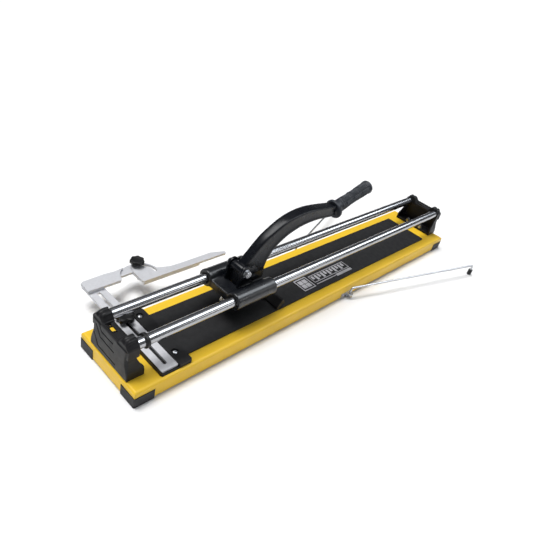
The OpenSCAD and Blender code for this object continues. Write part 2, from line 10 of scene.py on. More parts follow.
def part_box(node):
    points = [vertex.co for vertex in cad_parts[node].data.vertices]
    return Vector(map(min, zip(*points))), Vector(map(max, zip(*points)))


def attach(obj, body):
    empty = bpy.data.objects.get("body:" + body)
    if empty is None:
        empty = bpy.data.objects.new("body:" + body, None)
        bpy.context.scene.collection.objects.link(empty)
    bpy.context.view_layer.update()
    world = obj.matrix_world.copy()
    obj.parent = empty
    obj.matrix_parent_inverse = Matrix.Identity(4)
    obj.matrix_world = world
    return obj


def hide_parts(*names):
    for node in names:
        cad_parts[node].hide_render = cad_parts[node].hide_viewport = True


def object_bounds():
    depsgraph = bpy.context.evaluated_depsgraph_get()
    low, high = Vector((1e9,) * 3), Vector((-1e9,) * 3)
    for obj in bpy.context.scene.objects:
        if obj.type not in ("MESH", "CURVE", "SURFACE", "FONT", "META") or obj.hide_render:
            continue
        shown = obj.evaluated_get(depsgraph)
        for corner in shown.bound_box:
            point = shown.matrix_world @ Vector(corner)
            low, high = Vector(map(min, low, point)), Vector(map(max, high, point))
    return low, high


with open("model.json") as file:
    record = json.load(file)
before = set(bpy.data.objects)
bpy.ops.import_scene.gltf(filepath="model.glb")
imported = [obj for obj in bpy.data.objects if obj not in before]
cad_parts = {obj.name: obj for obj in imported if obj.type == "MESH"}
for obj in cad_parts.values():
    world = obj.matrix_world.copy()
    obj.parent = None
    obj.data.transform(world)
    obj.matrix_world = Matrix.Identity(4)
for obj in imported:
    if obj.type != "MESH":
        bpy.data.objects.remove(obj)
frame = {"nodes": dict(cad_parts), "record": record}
cad_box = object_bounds()
MM = 0.001

# ---- Places, read from the frame: x from the near end, y from the centre line, z above the deck ----

tray_low, tray_high = (Vector(p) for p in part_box("base_tray"))
NEAR = tray_low.x
MID = (tray_low.y + tray_high.y) / 2
DECK = tray_high.z
LENGTH = (tray_high.x - tray_low.x) / MM


def at(x, y, z):
    """A point of the deck frame, given in millimetres, as a place in the scene."""
    return Vector((NEAR + x * MM, MID + y * MM, DECK + z * MM))


# ---- Materials ----


class Nodes:
    """Adds shader nodes to one material with short calls."""

    def __init__(self, name, metallic=0.0, **sockets):
        self.mat = bpy.data.materials.new(name)
        self.mat.use_nodes = True
        self.tree = self.mat.node_tree
        self.bsdf = self.tree.nodes["Principled BSDF"]
        self.bsdf.inputs["Metallic"].default_value = metallic
        for key, value in sockets.items():
            self.bsdf.inputs[key.replace("_", " ")].default_value = value
        self.coords = self.add("ShaderNodeTexCoord").outputs["Object"]

    def add(self, kind, links=None, **settings):
        node = self.tree.nodes.new(kind)
        for key, value in settings.items():
            setattr(node, key, value)
        for key, source in (links or {}).items():
            if isinstance(source, bpy.types.NodeSocket):
                self.tree.links.new(source, node.inputs[key])
            else:
                node.inputs[key].default_value = source
        return node

    def stretch(self, scale):
        """Object coordinates, multiplied along each axis by the scale given."""
        return self.add("ShaderNodeMapping", {"Vector": self.coords, "Scale": scale}).outputs["Vector"]

    def noise(self, scale, detail, rough=0.5, vector=None):
        links = {"Vector": vector or self.coords, "Scale": scale, "Detail": detail, "Roughness": rough}
        return self.add("ShaderNodeTexNoise", links).outputs["Fac"]

    def cells(self, scale):
        links = {"Vector": self.coords, "Scale": scale}
        return self.add("ShaderNodeTexVoronoi", links).outputs["Distance"]

    def ramp(self, value, low, high, to_low=0.0, to_high=1.0):
        links = {"Value": value, "From Min": low, "From Max": high, "To Min": to_low, "To Max": to_high}
        return self.add("ShaderNodeMapRange", links).outputs["Result"]

    def mix(self, factor, first, second):
        node = self.add("ShaderNodeMix", data_type="RGBA")
        for index, source in ((0, factor), (6, first), (7, second)):
            if isinstance(source, bpy.types.NodeSocket):
                self.tree.links.new(source, node.inputs[index])
            else:
                node.inputs[index].default_value = source if index == 0 else (*source, 1.0)
        return node.outputs[2]

    def color(self, source):
        self.tree.links.new(source, self.bsdf.inputs["Base Color"])

    def roughness(self, source):
        self.tree.links.new(source, self.bsdf.inputs["Roughness"])

    def bump(self, height, strength, distance):
        node = self.add("ShaderNodeBump", {"Height": height, "Strength": strength, "Distance": distance})
        self.tree.links.new(node.outputs["Normal"], self.bsdf.inputs["Normal"])


def tint(color, gain):
    """The colour made lighter or darker."""
    return tuple(min(1.0, c * gain) for c in color)


def paint(name, color, rough, peel, dust, shine=0.35):
    """Powder coat or enamel: a slight orange peel, cloudy colour and fine dust."""
    n = Nodes(name, Specular_IOR_Level=shine)
    cloud = n.ramp(n.noise(7, 4), 0.3, 0.7)
    base = n.mix(cloud, tint(color, 0.93), tint(color, 1.05))
    specks = n.ramp(n.cells(420), 0.0, 0.12, dust, 0.0)
    n.color(n.mix(specks, base, tint(color, 0.55)))
    n.roughness(n.ramp(n.noise(38, 5), 0.3, 0.7, rough - 0.06, rough + 0.07))
    n.bump(n.noise(900, 2), peel, 0.0004)
    return n.mat


def rubber(name, color, rough, grain=520, depth=0.25):
    """Matt rubber with a cellular grain."""
    n = Nodes(name, Specular_IOR_Level=0.3)
    cloud = n.ramp(n.noise(24, 5), 0.3, 0.7)
    n.color(n.mix(cloud, tint(color, 0.82), tint(color, 1.22)))
    n.roughness(n.ramp(n.noise(90, 4), 0.3, 0.7, rough - 0.08, rough + 0.08))
    n.bump(n.cells(grain), depth, 0.0005)
    return n.mat


def moulded(name, color, rough, depth=0.18):
    """Moulded plastic with a fine spark-eroded grain."""
    n = Nodes(name, Specular_IOR_Level=0.22)
    cloud = n.ramp(n.noise(14, 3), 0.3, 0.7)
    n.color(n.mix(cloud, tint(color, 0.9), tint(color, 1.12)))
    n.roughness(n.ramp(n.noise(60, 4), 0.3, 0.7, rough - 0.07, rough + 0.07))
    n.bump(n.noise(1400, 4, 0.7), depth, 0.0003)
    return n.mat


def casting(name, color, rough, metallic):
    """Sand-textured cast metal, with small dark spots of painted shade standing for a few small pits."""
    n = Nodes(name, metallic)
    cloud = n.ramp(n.noise(220, 4), 0.3, 0.7)
    base = n.mix(cloud, tint(color, 0.95), tint(color, 1.03))
    # Small dark spots: painted shade for pits, which have no depth of their own
    pit_shade = n.ramp(n.cells(190), 0.03, 0.09, 0.35, 0.0)
    n.color(n.mix(pit_shade, base, tint(color, 0.5)))
    n.roughness(n.ramp(n.noise(140, 5), 0.3, 0.7, rough - 0.08, rough + 0.1))
    n.bump(n.noise(1100, 4, 0.6), 0.1, 0.0003)
    return n.mat


def metal(name, color, rough, streak=(1, 1, 1), spread=0.05, depth=0.05):
    """Polished, plated or brushed metal. streak stretches the fine marks along an axis."""
    n = Nodes(name, 1.0)
    lines = n.noise(700, 3, 0.6, n.stretch(streak))
    cloud = n.ramp(n.noise(18, 3), 0.3, 0.7)
    n.color(n.mix(cloud, tint(color, 0.95), tint(color, 1.03)))
    n.roughness(n.ramp(lines, 0.3, 0.7, max(0.02, rough - spread), rough + spread))
    n.bump(lines, depth, 0.0002)
    return n.mat


RAIL_MARKS = (0.04, 1, 1)
BLACK_ENAMEL = (0.0045, 0.0055, 0.008)
# One finish for each material slot of the record, and two more: the sleeves' paint and the mat's print
LOOKS = {
    "deck_paint": paint("deck_paint", (0.87, 0.555, 0.028), 0.4, peel=0.05, dust=0.06),
    "foot_rubber": rubber("foot_rubber", (0.022, 0.022, 0.024), 0.62),
    "mat_rubber": rubber("mat_rubber", (0.0085, 0.0085, 0.0095), 0.66, grain=760, depth=0.3),
    "rib_steel": metal("rib_steel", (0.5, 0.5, 0.52), 0.32, RAIL_MARKS),
    "bracket_plastic": moulded("bracket_plastic", (0.009, 0.009, 0.01), 0.42, depth=0.05),
    "zinc_steel": metal("zinc_steel", (0.5, 0.51, 0.53), 0.27, spread=0.07, depth=0.015),
    "rail_chrome": metal("rail_chrome", (0.42, 0.425, 0.44), 0.2, RAIL_MARKS, 0.01, 0.0),
    "ring_rubber": rubber("ring_rubber", (0.012, 0.012, 0.013), 0.42),
    "block_plastic": moulded("block_plastic", (0.011, 0.011, 0.012), 0.48),
    "gloss_black_paint": paint("gloss_black_paint", BLACK_ENAMEL, 0.27, peel=0.01, dust=0.0, shine=0.2),
    "sleeve_paint": paint("sleeve_paint", BLACK_ENAMEL, 0.3, peel=0.005, dust=0.0, shine=0.65),
    "bush_brass": metal("bush_brass", (0.7, 0.52, 0.25), 0.3),
    "dark_steel": metal("dark_steel", (0.09, 0.09, 0.095), 0.38),
    "grip_rubber": rubber("grip_rubber", (0.017, 0.02, 0.027), 0.45, grain=900, depth=0.15),
    # Wheel and holder, darker than carbide's own grey: partly a dark holder finish, partly painted shade
    # for where they sit under the jaw
    "wheel_steel": metal("wheel_steel", (0.16, 0.16, 0.17), 0.3),
    "cast_aluminium": casting("cast_aluminium", (0.6, 0.605, 0.63), 0.5, 0.3),
    "print_ink": rubber("print_ink", (0.46, 0.46, 0.48), 0.6),
    "knob_plastic": moulded("knob_plastic", (0.01, 0.01, 0.011), 0.42),
}

SLOT_OF = {row["node"]: row["material_slot"] for row in frame["record"]["subparts"]}
for name, node in frame["nodes"].items():
    node.data.materials.clear()
    node.data.materials.append(LOOKS[SLOT_OF[name]])

# ---- Soft edges on the CAD nodes that stay visible ----


# Width of each one's rounded edge
SOFT_EDGES = {"guide_bar": 0.5, "angle_arm": 0.5, "fence_block": 0.5, "corner_feet": 0.7, "mat_front": 0.6,
              "mat_back": 0.6, "breaker_foot": 0.8}


def soften(name, width):
    node = frame["nodes"][name]
    weld = node.modifiers.new("weld", "WELD")
    weld.merge_threshold = 0.01 * MM
    edges = node.modifiers.new("soft_edges", "BEVEL")
    edges.width = width * MM
    edges.segments = 2
    edges.limit_method = "ANGLE"
    edges.angle_limit = math.radians(32)
    edges.harden_normals = True


for name, width in SOFT_EDGES.items():
    soften(name, width)

# ---- Mesh tools: outlines are in millimetres of the deck frame ----


def flat(u, v, w):
    """An outline in x and y, swept along z."""
    return at(u, v, w)


def side(u, v, w):
    """An outline in x and z, swept along y."""
    return at(u, w, v)


def end(u, v, w):
    """An outline in y and z, swept along x."""
    return at(w, u, v)


def arc(center, radius, start, stop, steps=8):
    angles = [math.radians(start + (stop - start) * i / steps) for i in range(steps + 1)]
    return [(center[0] + radius * math.cos(a), center[1] + radius * math.sin(a)) for a in angles]


def rounded(u0, v0, u1, v1, r):
    """A rectangle with round corners."""
    return (arc((u0 + r, v0 + r), r, 180, 270, 4) + arc((u1 - r, v0 + r), r, 270, 360, 4)
            + arc((u1 - r, v1 - r), r, 0, 90, 4) + arc((u0 + r, v1 - r), r, 90, 180, 4))


def bridge(bm, rings, closed=False):
    """Skins a row of rings, with end caps unless the last ring joins the first."""
    n = len(rings[0])
    for a, b in zip(rings, rings[1:] + ([rings[0]] if closed else [])):
        for i in range(n):
            j = (i + 1) % n
            bm.faces.new((a[i], a[j], b[j], b[i]))
    if not closed:
        bm.faces.new(rings[0][::-1])
        bm.faces.new(rings[-1])


def prism(bm, outline, place, low, high):
    bridge(bm, [[bm.verts.new(place(u, v, w)) for u, v in outline] for w in (low, high)])


def turned(bm, profile, origin, axis, radius_at=None, steps=48, closed=False):
    """A turned shape from (radius, distance along the axis) pairs. radius_at reshapes a ring by angle."""
    axis = Vector(axis).normalized()
    across = Vector((0, 0, 1)) if abs(axis.z) < 0.9 else Vector((1, 0, 0))
    u = (across - axis * across.dot(axis)).normalized()
    v = axis.cross(u)
    rings = []
    for r, s in profile:
        ring = []
        for k in range(steps):
            a = 2 * math.pi * k / steps
            d = radius_at(r, s, a) if radius_at else r
            ring.append(bm.verts.new(origin + axis * s * MM + (u * math.cos(a) + v * math.sin(a)) * d * MM))
        rings.append(ring)
    bridge(bm, rings, closed)


def hexagon(apothem):
    """Radius of a hexagon by angle, no further out than its chamfer lets it be."""
    def radius_at(r, _s, a):
        if r < apothem * 0.9:
            return r
        return min(r, apothem / math.cos((a + math.pi / 6) % (math.pi / 3) - math.pi / 6))
    return radius_at


def nut(bm, apothem, bore, origin, axis, height):
    """A chamfered hexagon nut that stands on its origin."""
    corner = apothem / math.cos(math.pi / 6)
    chamfer = corner - apothem
    profile = [(bore, 0), (apothem, 0), (corner, chamfer), (corner, height - chamfer), (apothem, height),
               (bore + 0.4, height), (bore, height - 0.4)]
    turned(bm, profile, origin, axis, hexagon(apothem), closed=True)


def thread(radius, start, stop, pitch=1.25, depth=0.45):
    """Profile of a threaded shank with a chamfered tip."""
    turns = int((stop - start) / pitch)
    pairs = [(radius, start)]
    for i in range(turns):
        pairs += [(radius - depth, start + (i + 0.5) * pitch), (radius, start + (i + 1) * pitch)]
    return pairs + [(radius - 0.8, stop)]


def hex_bolt(bm, apothem, radius, origin, axis, head, length, threaded):
    """A bolt whose head ends, and whose shank begins, at its origin."""
    corner = apothem / math.cos(math.pi / 6)
    chamfer = corner - apothem
    head_profile = [(apothem - 0.6, -head), (apothem, -head + 0.2), (corner, -head + chamfer + 0.2),
                    (corner, -0.2), (apothem, 0)]
    turned(bm, head_profile, origin, axis, hexagon(apothem))
    shank = [(radius, -0.5)] + thread(radius, length - threaded, length)
    turned(bm, shank, origin, axis, steps=24)


def made(name, bm):
    """Turns the mesh being built into an object of the scene."""
    bmesh.ops.recalc_face_normals(bm, faces=bm.faces)
    mesh = bpy.data.meshes.new(name)
    bm.to_mesh(mesh)
    bm.free()
    obj = bpy.data.objects.new(name, mesh)
    bpy.context.collection.objects.link(obj)
    return obj


def modify(obj, kind, **settings):
    """Adds one modifier and applies it at once."""
    modifier = obj.modifiers.new("step", kind)
    for key, value in settings.items():
        setattr(modifier, key, value)
    bpy.context.view_layer.update()
    shaped = obj.evaluated_get(bpy.context.evaluated_depsgraph_get())
    mesh = bpy.data.meshes.new_from_object(shaped)
    old = obj.data
    obj.modifiers.clear()
    obj.data = mesh
    bpy.data.meshes.remove(old)


def carve(obj, cutter):
    """Takes the cutter's solids away from the object."""
    tool = made("cutter", cutter)
    modify(obj, "BOOLEAN", object=tool, operation="DIFFERENCE", solver="EXACT", use_self=True)
    bpy.data.objects.remove(tool)


def fuse(obj, voxel, rounds=0):
    """Melts overlapping solids into one skin, with its edges rounded like a casting's."""
    modify(obj, "REMESH", mode="VOXEL", voxel_size=voxel * MM)
    if rounds:
        modify(obj, "SMOOTH", factor=0.5, iterations=rounds)


def bevel(obj, width):
    modify(obj, "BEVEL", width=width * MM, segments=2, limit_method="ANGLE", angle_limit=math.radians(30))


def dress(obj, body, slot, nodes=(), angle=35, look=None):
    """Gives a piece its finish, its body, and the CAD nodes it stands for."""
    obj.data.materials.clear()
    obj.data.materials.append(LOOKS[look or slot])
    obj.data.shade_smooth()
    obj.data.set_sharp_from_angle(angle=math.radians(angle))
    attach(obj, body)
    if nodes:
        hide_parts(*nodes)
    return obj


def spline(points, per):
    """A smooth row of points through the given ones, with as many steps between each two as asked."""
    row = []
    for i in range(len(points) - 1):
        p = [points[max(0, min(len(points) - 1, i + k))] for k in (-1, 0, 1, 2)]
        for step in range(per):
            t = step / per
            row.append(tuple(0.5 * (2 * b + (c - a) * t + (2 * a - 5 * b + 4 * c - d) * t * t
                                    + (3 * b - a - 3 * c + d) * t ** 3) for a, b, c, d in zip(*p)))
    return row + [tuple(points[-1])]


# ---- Main sizes, as the CAD has them, in millimetres of the deck frame ----

RAIL_Y = 40.5
RAIL_Z = 61
RAIL_R = 10
RAIL_START = 9
RAIL_WALL = 2
RAIL_CHAMFER = 0.6
BRACKET_BOLT = (28, 20.5)
BLOCK_SCREWS = ((102.5, -46), (102.5, 61))
# The sleeves' two ends along the rail, and three places on the centre plane as (x, z)
SLEEVE = (229, 330)
PIVOT = (272, 97)
FOOT_PIN = (324, 41)
WHEEL = (250.7, 24.1)
HOLDER_LEAN = math.radians(16.3)

# ---- Rails: tubes with chamfered ends ----


def rails():
    for s, name in ((-1, "rail_front"), (1, "rail_back")):
        bm = bmesh.new()
        near, far = RAIL_START, LENGTH - RAIL_START
        bore, mouth = RAIL_R - RAIL_WALL, RAIL_R - RAIL_CHAMFER
        profile = [(bore, near), (mouth, near), (RAIL_R, near + RAIL_CHAMFER),
                   (RAIL_R, far - RAIL_CHAMFER), (mouth, far), (bore, far)]
        turned(bm, profile, at(0, s * RAIL_Y, RAIL_Z), (1, 0, 0), steps=128, closed=True)
        dress(made(name, bm), "base", "rail_chrome", [name])


rails()

# ---- End brackets ----

# Levels of the moulded body: height, half width, half width of the outer face, reach inward, setback of
# the corner between the outer face and the side
BRACKET_LEVELS = ((0, 55, 53.8, 35, 2.2), (10, 55, 53.4, 35, 2.4), (17, 54.2, 51.5, 34.8, 3),
                  (20, 53.4, 50.5, 33.5, 3.4), (26, 52.2, 48.5, 28.5, 4.2), (34, 51, 46, 24, 5),
                  (40, 50.6, 45.4, 21.8, 5.3), (49, 50.2, 45.8, 20.6, 4.8), (56, 51.4, 47.4, 21, 4.5),
                  (61, 52.6, 49, 22.5, 4.4))
FACE_X = 1.5
BRACKET_WALL = 4
GROOVE_HALF = 0.95
# Outline of a rail boss seen from the end, as (y, z)
BOSS = ((52.8, 44), (52.8, 62), (51.8, 66), (47.2, 70.6), (46.2, 71.6), (45.6, 75), (43.6, 76.8),
        (41.4, 76.4), (40.4, 75.2), (36.4, 75.3), (35.2, 76.5), (31, 76.6), (28.2, 74.6), (27.4, 72.6),
        (23, 67), (22.4, 65.2), (20.6, 64.6), (20.2, 57))
# Stations along the rail, each with the share of the boss's rise above the valley that it has reached
BOSS_RISE = ((3.4, 0.56), (4.2, 0.64), (6.5, 0.82), (9.5, 0.94), (13, 0.99), (19, 1), (25, 1))
VALLEY = 61
# Engraved step lines of the outer face, each a row of (y, z)
STEP_LINES = (((32, 64), (21, 49), (-12, 49.6)), ((38.5, 55), (25, 35), (-16, 33.5)),
              ((44.5, 33), (31, 11), (-21, 10.5)))
# Thin ribs in the valley: their places across, half thickness, and outline in x and z
VALLEY_RIBS = (-5.5, 2, 16)
VALLEY_RIB_HALF = 0.7
VALLEY_RIB = ((8.5, 56), (19.5, 56), (19, 60.5), (8.5, 61))


def bracket_shell(bm):
    """The solid body: a stack of levels, a boss for each rail, and the lip between the bosses."""
    rings = []
    for z, half, edge, reach, setback in BRACKET_LEVELS:
        row = ((reach, half), (setback, half), (FACE_X, edge),
               (FACE_X, -edge), (setback, -half), (reach, -half))
        rings.append([bm.verts.new(at(x, y, z)) for x, y in row])
    bridge(bm, rings)
    for s in (-1, 1):
        stations = []
        for x, rise in BOSS_RISE:
            row = [(s * y, z if z < VALLEY else VALLEY + (z - VALLEY) * rise) for y, z in BOSS]
            stations.append([bm.verts.new(at(x, y, z)) for y, z in row])
        bridge(bm, stations)
    prism(bm, [(1.6, 50), (5.4, 50), (5.4, 63.4), (4.4, 65), (3, 65), (1.6, 62)], side, -23, 23)


def bracket_hollow(bm):
    """The hollow behind the outer face, and a window through the valley above it."""
    inner = [(level[1] - BRACKET_WALL, max(6, min(level[0], 57))) for level in BRACKET_LEVELS]
    outline = inner + [(-y, z) for y, z in reversed(inner)]
    prism(bm, outline, end, 5, 60)
    prism(bm, rounded(9.5, -1, 17, 19.5, 1), flat, 50, 80)


def step_grooves(bm):
    for line in STEP_LINES:
        for (y0, z0), (y1, z1) in zip(line, line[1:]):
            run = Vector((y1 - y0, z1 - z0)).normalized()
            w = Vector((-run.y, run.x)) * GROOVE_HALF
            a, b = Vector((y0, z0)) - run * 0.6, Vector((y1, z1)) + run * 0.6
            prism(bm, [tuple(a - w), tuple(b - w), tuple(b + w), tuple(a + w)], end, 0, FACE_X + 1.7)


def brackets():
    bm = bmesh.new()
    bracket_shell(bm)
    obj = made("bracket_near_body", bm)
    fuse(obj, 0.7)
    for shape in (bracket_hollow, step_grooves):
        cutter = bmesh.new()
        shape(cutter)
        carve(obj, cutter)
    ribs = bmesh.new()
    ribs.from_mesh(obj.data)
    for y in VALLEY_RIBS:
        prism(ribs, VALLEY_RIB, side, y - VALLEY_RIB_HALF, y + VALLEY_RIB_HALF)
    ribs.to_mesh(obj.data)
    ribs.free()
    fuse(obj, 0.7, 1)
    cutter = bmesh.new()
    for s in (-1, 1):
        socket = [(RAIL_R + 0.1, RAIL_START - 0.1), (RAIL_R + 0.1, 40)]
        turned(cutter, socket, at(0, s * RAIL_Y, RAIL_Z), (1, 0, 0))
        bolt_hole = [(3.3, -5), (3.3, 12)]
        turned(cutter, bolt_hole, at(BRACKET_BOLT[0], s * BRACKET_BOLT[1], 0), (0, 0, 1), steps=24)
    carve(obj, cutter)
    far = bpy.data.objects.new("bracket_far_body", obj.data.copy())
    bpy.context.collection.objects.link(far)
    far.data.transform(Matrix.Translation((2 * NEAR + LENGTH * MM, 0, 0)) @ Matrix.Scale(-1, 4, (1, 0, 0)))
    far.data.flip_normals()
    for end_piece in (obj, far):
        dress(end_piece, "base", "bracket_plastic", [end_piece.name.replace("_body", "")], 50)


brackets()

# ---- Carriage casting ----

WEB_X = 230
LIP = (5, 49)
THROAT_X = 262
THROAT_HALF = 14
EAR = (15, 20)
SLEEVE_R = 17.5
SLEEVE_EDGE_R = 16.6
SLEEVE_BODY_R = 17.1
SLEEVE_BORE = 12.5
COLLAR = 8
# The bridge's top: half width of its flat, the width over which it sweeps up, its height and its rise
SADDLE_FLAT = 20
SADDLE_SWEEP = 18
SADDLE_TOP = 66
SADDLE_RISE = 11.4


def saddle_outline():
    """End view of the bridge between the sleeves: flat in the middle, swept up onto each sleeve."""
    top = []
    for i in range(-12, 13):
        y = RAIL_Y * i / 12
        t = min(1, max(0, (abs(y) - SADDLE_FLAT) / SADDLE_SWEEP))
        top.append((y, SADDLE_TOP + SADDLE_RISE * t * t * (3 - 2 * t)))
    return top + [(RAIL_Y, 59), (22, 59.5), (-22, 59.5), (-RAIL_Y, 59)]


def ear_outline():
    """Side view of an ear: a broad foot, a nose on the far side and a round top over the bolt."""
    px = PIVOT[0]
    nose = [(px - 15.5, 65), (px + 25, 65), (px + 25, 69), (px + 17, 80), (px + 17.5, 91),
            (px + 21.5, 94), (px + 21.5, 101), (px + 19, 104), (px + 12.5, 104.5)]
    return nose + arc(PIVOT, 13.8, 50, 185, 12) + [(px - 13.6, 86), (px - 14.5, 70)]


def sleeve_profile():
    """One sleeve from its near end to its far end, with a slightly raised collar at both."""
    near, far = SLEEVE
    return [(SLEEVE_EDGE_R, near), (SLEEVE_R, near + 1.2), (SLEEVE_R, near + COLLAR),
            (SLEEVE_BODY_R, near + COLLAR + 1.5), (SLEEVE_BODY_R, far - COLLAR - 1.5),
            (SLEEVE_R, far - COLLAR), (SLEEVE_R, far - 1.2), (SLEEVE_EDGE_R, far)]


def carriage():
    bm = bmesh.new()
    for s in (-1, 1):
        turned(bm, sleeve_profile(), at(0, s * RAIL_Y, RAIL_Z), (1, 0, 0), steps=64)
    prism(bm, saddle_outline(), end, WEB_X, SLEEVE[1] - 4)
    prism(bm, [(-RAIL_Y, LIP[1]), (RAIL_Y, LIP[1]), (30, 66), (-30, 66)], end, WEB_X, WEB_X + LIP[0])
    obj = made("carriage_body", bm)
    fuse(obj, 1.1)
    cutter = bmesh.new()
    throat = (arc((THROAT_X + 6, -THROAT_HALF + 6), 6, 270, 180, 4)
              + arc((THROAT_X + 6, THROAT_HALF - 6), 6, 180, 90, 4)
              + [(400, THROAT_HALF), (400, -THROAT_HALF)])
    prism(cutter, throat, flat, 40, 90)
    carve(obj, cutter)
    fuse(obj, 1.1, 10)
    cutter = bmesh.new()
    for s in (-1, 1):
        bore = [(SLEEVE_BORE, 200), (SLEEVE_BORE, 360)]
        turned(cutter, bore, at(0, s * RAIL_Y, RAIL_Z), (1, 0, 0), steps=64)
    carve(obj, cutter)
    dress(obj, "carriage", "gloss_black_paint", ["carriage_body"], 50, "sleeve_paint")


def carriage_ears():
    for s, name in ((-1, "ear_front"), (1, "ear_back")):
        bm = bmesh.new()
        inner, outer = sorted((s * EAR[0], s * EAR[1]))
        prism(bm, ear_outline(), side, inner, outer)
        px = PIVOT[0]
        foot_inner, foot_outer = sorted((s * (EAR[0] + 1), s * 24))
        foot = [(px - 14, 65), (px + 16, 65), (px + 14, 70), (px - 14, 70)]
        prism(bm, foot, side, foot_inner, foot_outer)
        obj = made(name, bm)
        bevel(obj, 0.8)
        dress(obj, "carriage", "gloss_black_paint", ["carriage_body"])


carriage()
carriage_ears()

# ---- Handle ----

# Stations along the curved arm: top (x, z), bottom (x, z) and half width
ARM = ((268, 95, 266, 62, 11.6), (278, 104.5, 304, 58, 11.2), (287, 115.5, 333, 67, 10.6),
       (298, 127.8, 334, 85, 10.2), (308, 138.4, 338, 101, 10.2), (322, 150.9, 344, 113.5, 10.6),
       (338, 161, 354, 125.5, 11), (355, 170.5, 368, 136.5, 11.3), (374, 178.3, 384, 145.5, 11.6),
       (396, 183.4, 402, 152, 12), (420, 186, 422, 156.5, 12), (447, 185.6, 446, 158.6, 12),
       (474, 182.5, 472, 158, 11.8), (500, 179, 499, 155.2, 11.6), (524, 175.4, 526, 152.5, 11.4))
# Cross-section from the slightly crowned top, round its corner, down the drawn-in side to the bottom bead:
# share of the depth, share of the half width
RIB = ((-0.03, 0.22), (-0.025, 0.55), (-0.01, 0.8), (0, 0.88), (0.02, 0.95), (0.05, 0.99), (0.09, 1),
       (0.15, 0.985), (0.25, 0.95), (0.4, 0.91), (0.6, 0.89), (0.74, 0.9), (0.8, 0.93), (0.84, 0.985),
       (0.89, 1), (0.94, 1), (0.98, 0.97), (1, 0.9))
JAW_HALF = 12.2
HUB_R = 10
HUB_HALF = 14.2
PIVOT_BORE = 6
PIN_BORE = 3
FORK_GAP = 8.2
HOLDER_HALF = 6.1


def arm_ring(bm, station):
    tx, tz, bx, bz, half = station
    points = [(tx + (bx - tx) * depth, width * half, tz + (bz - tz) * depth) for depth, width in RIB]
    points += [(x, -y, z) for x, y, z in reversed(points)]
    return [bm.verts.new(at(*p)) for p in points]


def handle_arm():
    bm = bmesh.new()
    bridge(bm, [arm_ring(bm, s) for s in spline(ARM, 6)])
    obj = made("handle_arm", bm)
    dress(obj, "handle", "gloss_black_paint", ["handle_arm"], 50)


def jaw_outline():
    """Side view of the jaw: from the wheel holder up to the pivot, and back down to the foot's pin."""
    return ([(249, 41), (250.4, 54), (264.8, 57.6), (264.8, 92)] + arc(PIVOT, HUB_R, 165, 60)
            + [(300, 100), (333, 70), (331.5, 62), (331, 40)] + arc(FOOT_PIN, 7, -10, -145)
            + [(308, 50), (270, 44), (257, 38)])


def leaned(x, z):
    """A point given along and up the leaning wheel holder, in the deck frame's x and z."""
    c, s = math.cos(HOLDER_LEAN), math.sin(HOLDER_LEAN)
    return WHEEL[0] + x * c + z * s, WHEEL[1] - x * s + z * c


HOLDER_POCKET = [leaned(x, z) for x, z in ((-12, 14), (10, 14), (10, 30.1), (-12, 30.1))]


def handle_jaw():
    bm = bmesh.new()
    prism(bm, jaw_outline(), side, -JAW_HALF, JAW_HALF)
    hub = [(HUB_R - 0.6, -HUB_HALF), (HUB_R, -HUB_HALF + 0.6),
           (HUB_R, HUB_HALF - 0.6), (HUB_R - 0.6, HUB_HALF)]
    turned(bm, hub, at(PIVOT[0], 0, PIVOT[1]), (0, 1, 0))
    obj = made("handle_jaw", bm)
    cutter = bmesh.new()
    for s in (-1, 1):
        low, high = sorted((s * FORK_GAP, s * 20))
        prism(cutter, [(290, 25), (340, 25), (340, 56), (306, 56)], side, low, high)
    for (x, z), radius, steps in ((PIVOT, PIVOT_BORE, 32), (FOOT_PIN, PIN_BORE, 24)):
        turned(cutter, [(radius, -30), (radius, 30)], at(x, 0, z), (0, 1, 0), steps=steps)
    prism(cutter, HOLDER_POCKET, side, -HOLDER_HALF, HOLDER_HALF)
    carve(obj, cutter)
    bevel(obj, 0.7)
    dress(obj, "handle", "gloss_black_paint", ["handle_arm"])


handle_arm()
handle_jaw()

# ---- Grip: a rubber sleeve with a flange and eight rows of ribbed panels ----

# A point on the grip's axis as (x, z), the axis's tilt, and how far along it the flange face lies
GRIP_AT = (590, 179.2)
GRIP_TILT = math.radians(16.3)
GRIP_START = -64
GRIP_R = 14.15
PANEL_ROWS = 8
# Where the panelled stretch begins and ends, and the cross seams in it, all from the flange face
PANELLED = (20, 108)
SEAMS = (26, 52, 78, 104)
SEAM_SHIFT = 6.5


def grip_radius(s):
    """Plain radius of the sleeve body at distance s from the flange face."""
    waist = 1 - math.cos(2 * math.pi * min(1, max(0, (s - 18) / 84)))
    return GRIP_R - 0.6 * waist


def grip_relief(r, s, a):
    """The sleeve's radius with its raised panels, each with a ribbed field; every other row is shifted."""
    if not PANELLED[0] < s < PANELLED[1]:
        return r
    sector = (a * PANEL_ROWS / (2 * math.pi)) % 1
    index = int(a * PANEL_ROWS / (2 * math.pi))
    across = abs(sector - 0.5) * 2
    shift = SEAM_SHIFT if index % 2 else 0
    along = min(abs(s - shift - seam) for seam in SEAMS + (PANELLED[0] - shift,))
    height = min(1, max(0, (0.84 - across) / 0.1)) * min(1, max(0, (along - 0.8) / 0.9))
    inside = across < 0.6 and along > 3.4
    ribs = 0.4 * math.cos(across * 5 * math.pi) if inside else 0
    return r - 1.2 + 1.3 * height + (ribs - 0.4 if inside else 0)


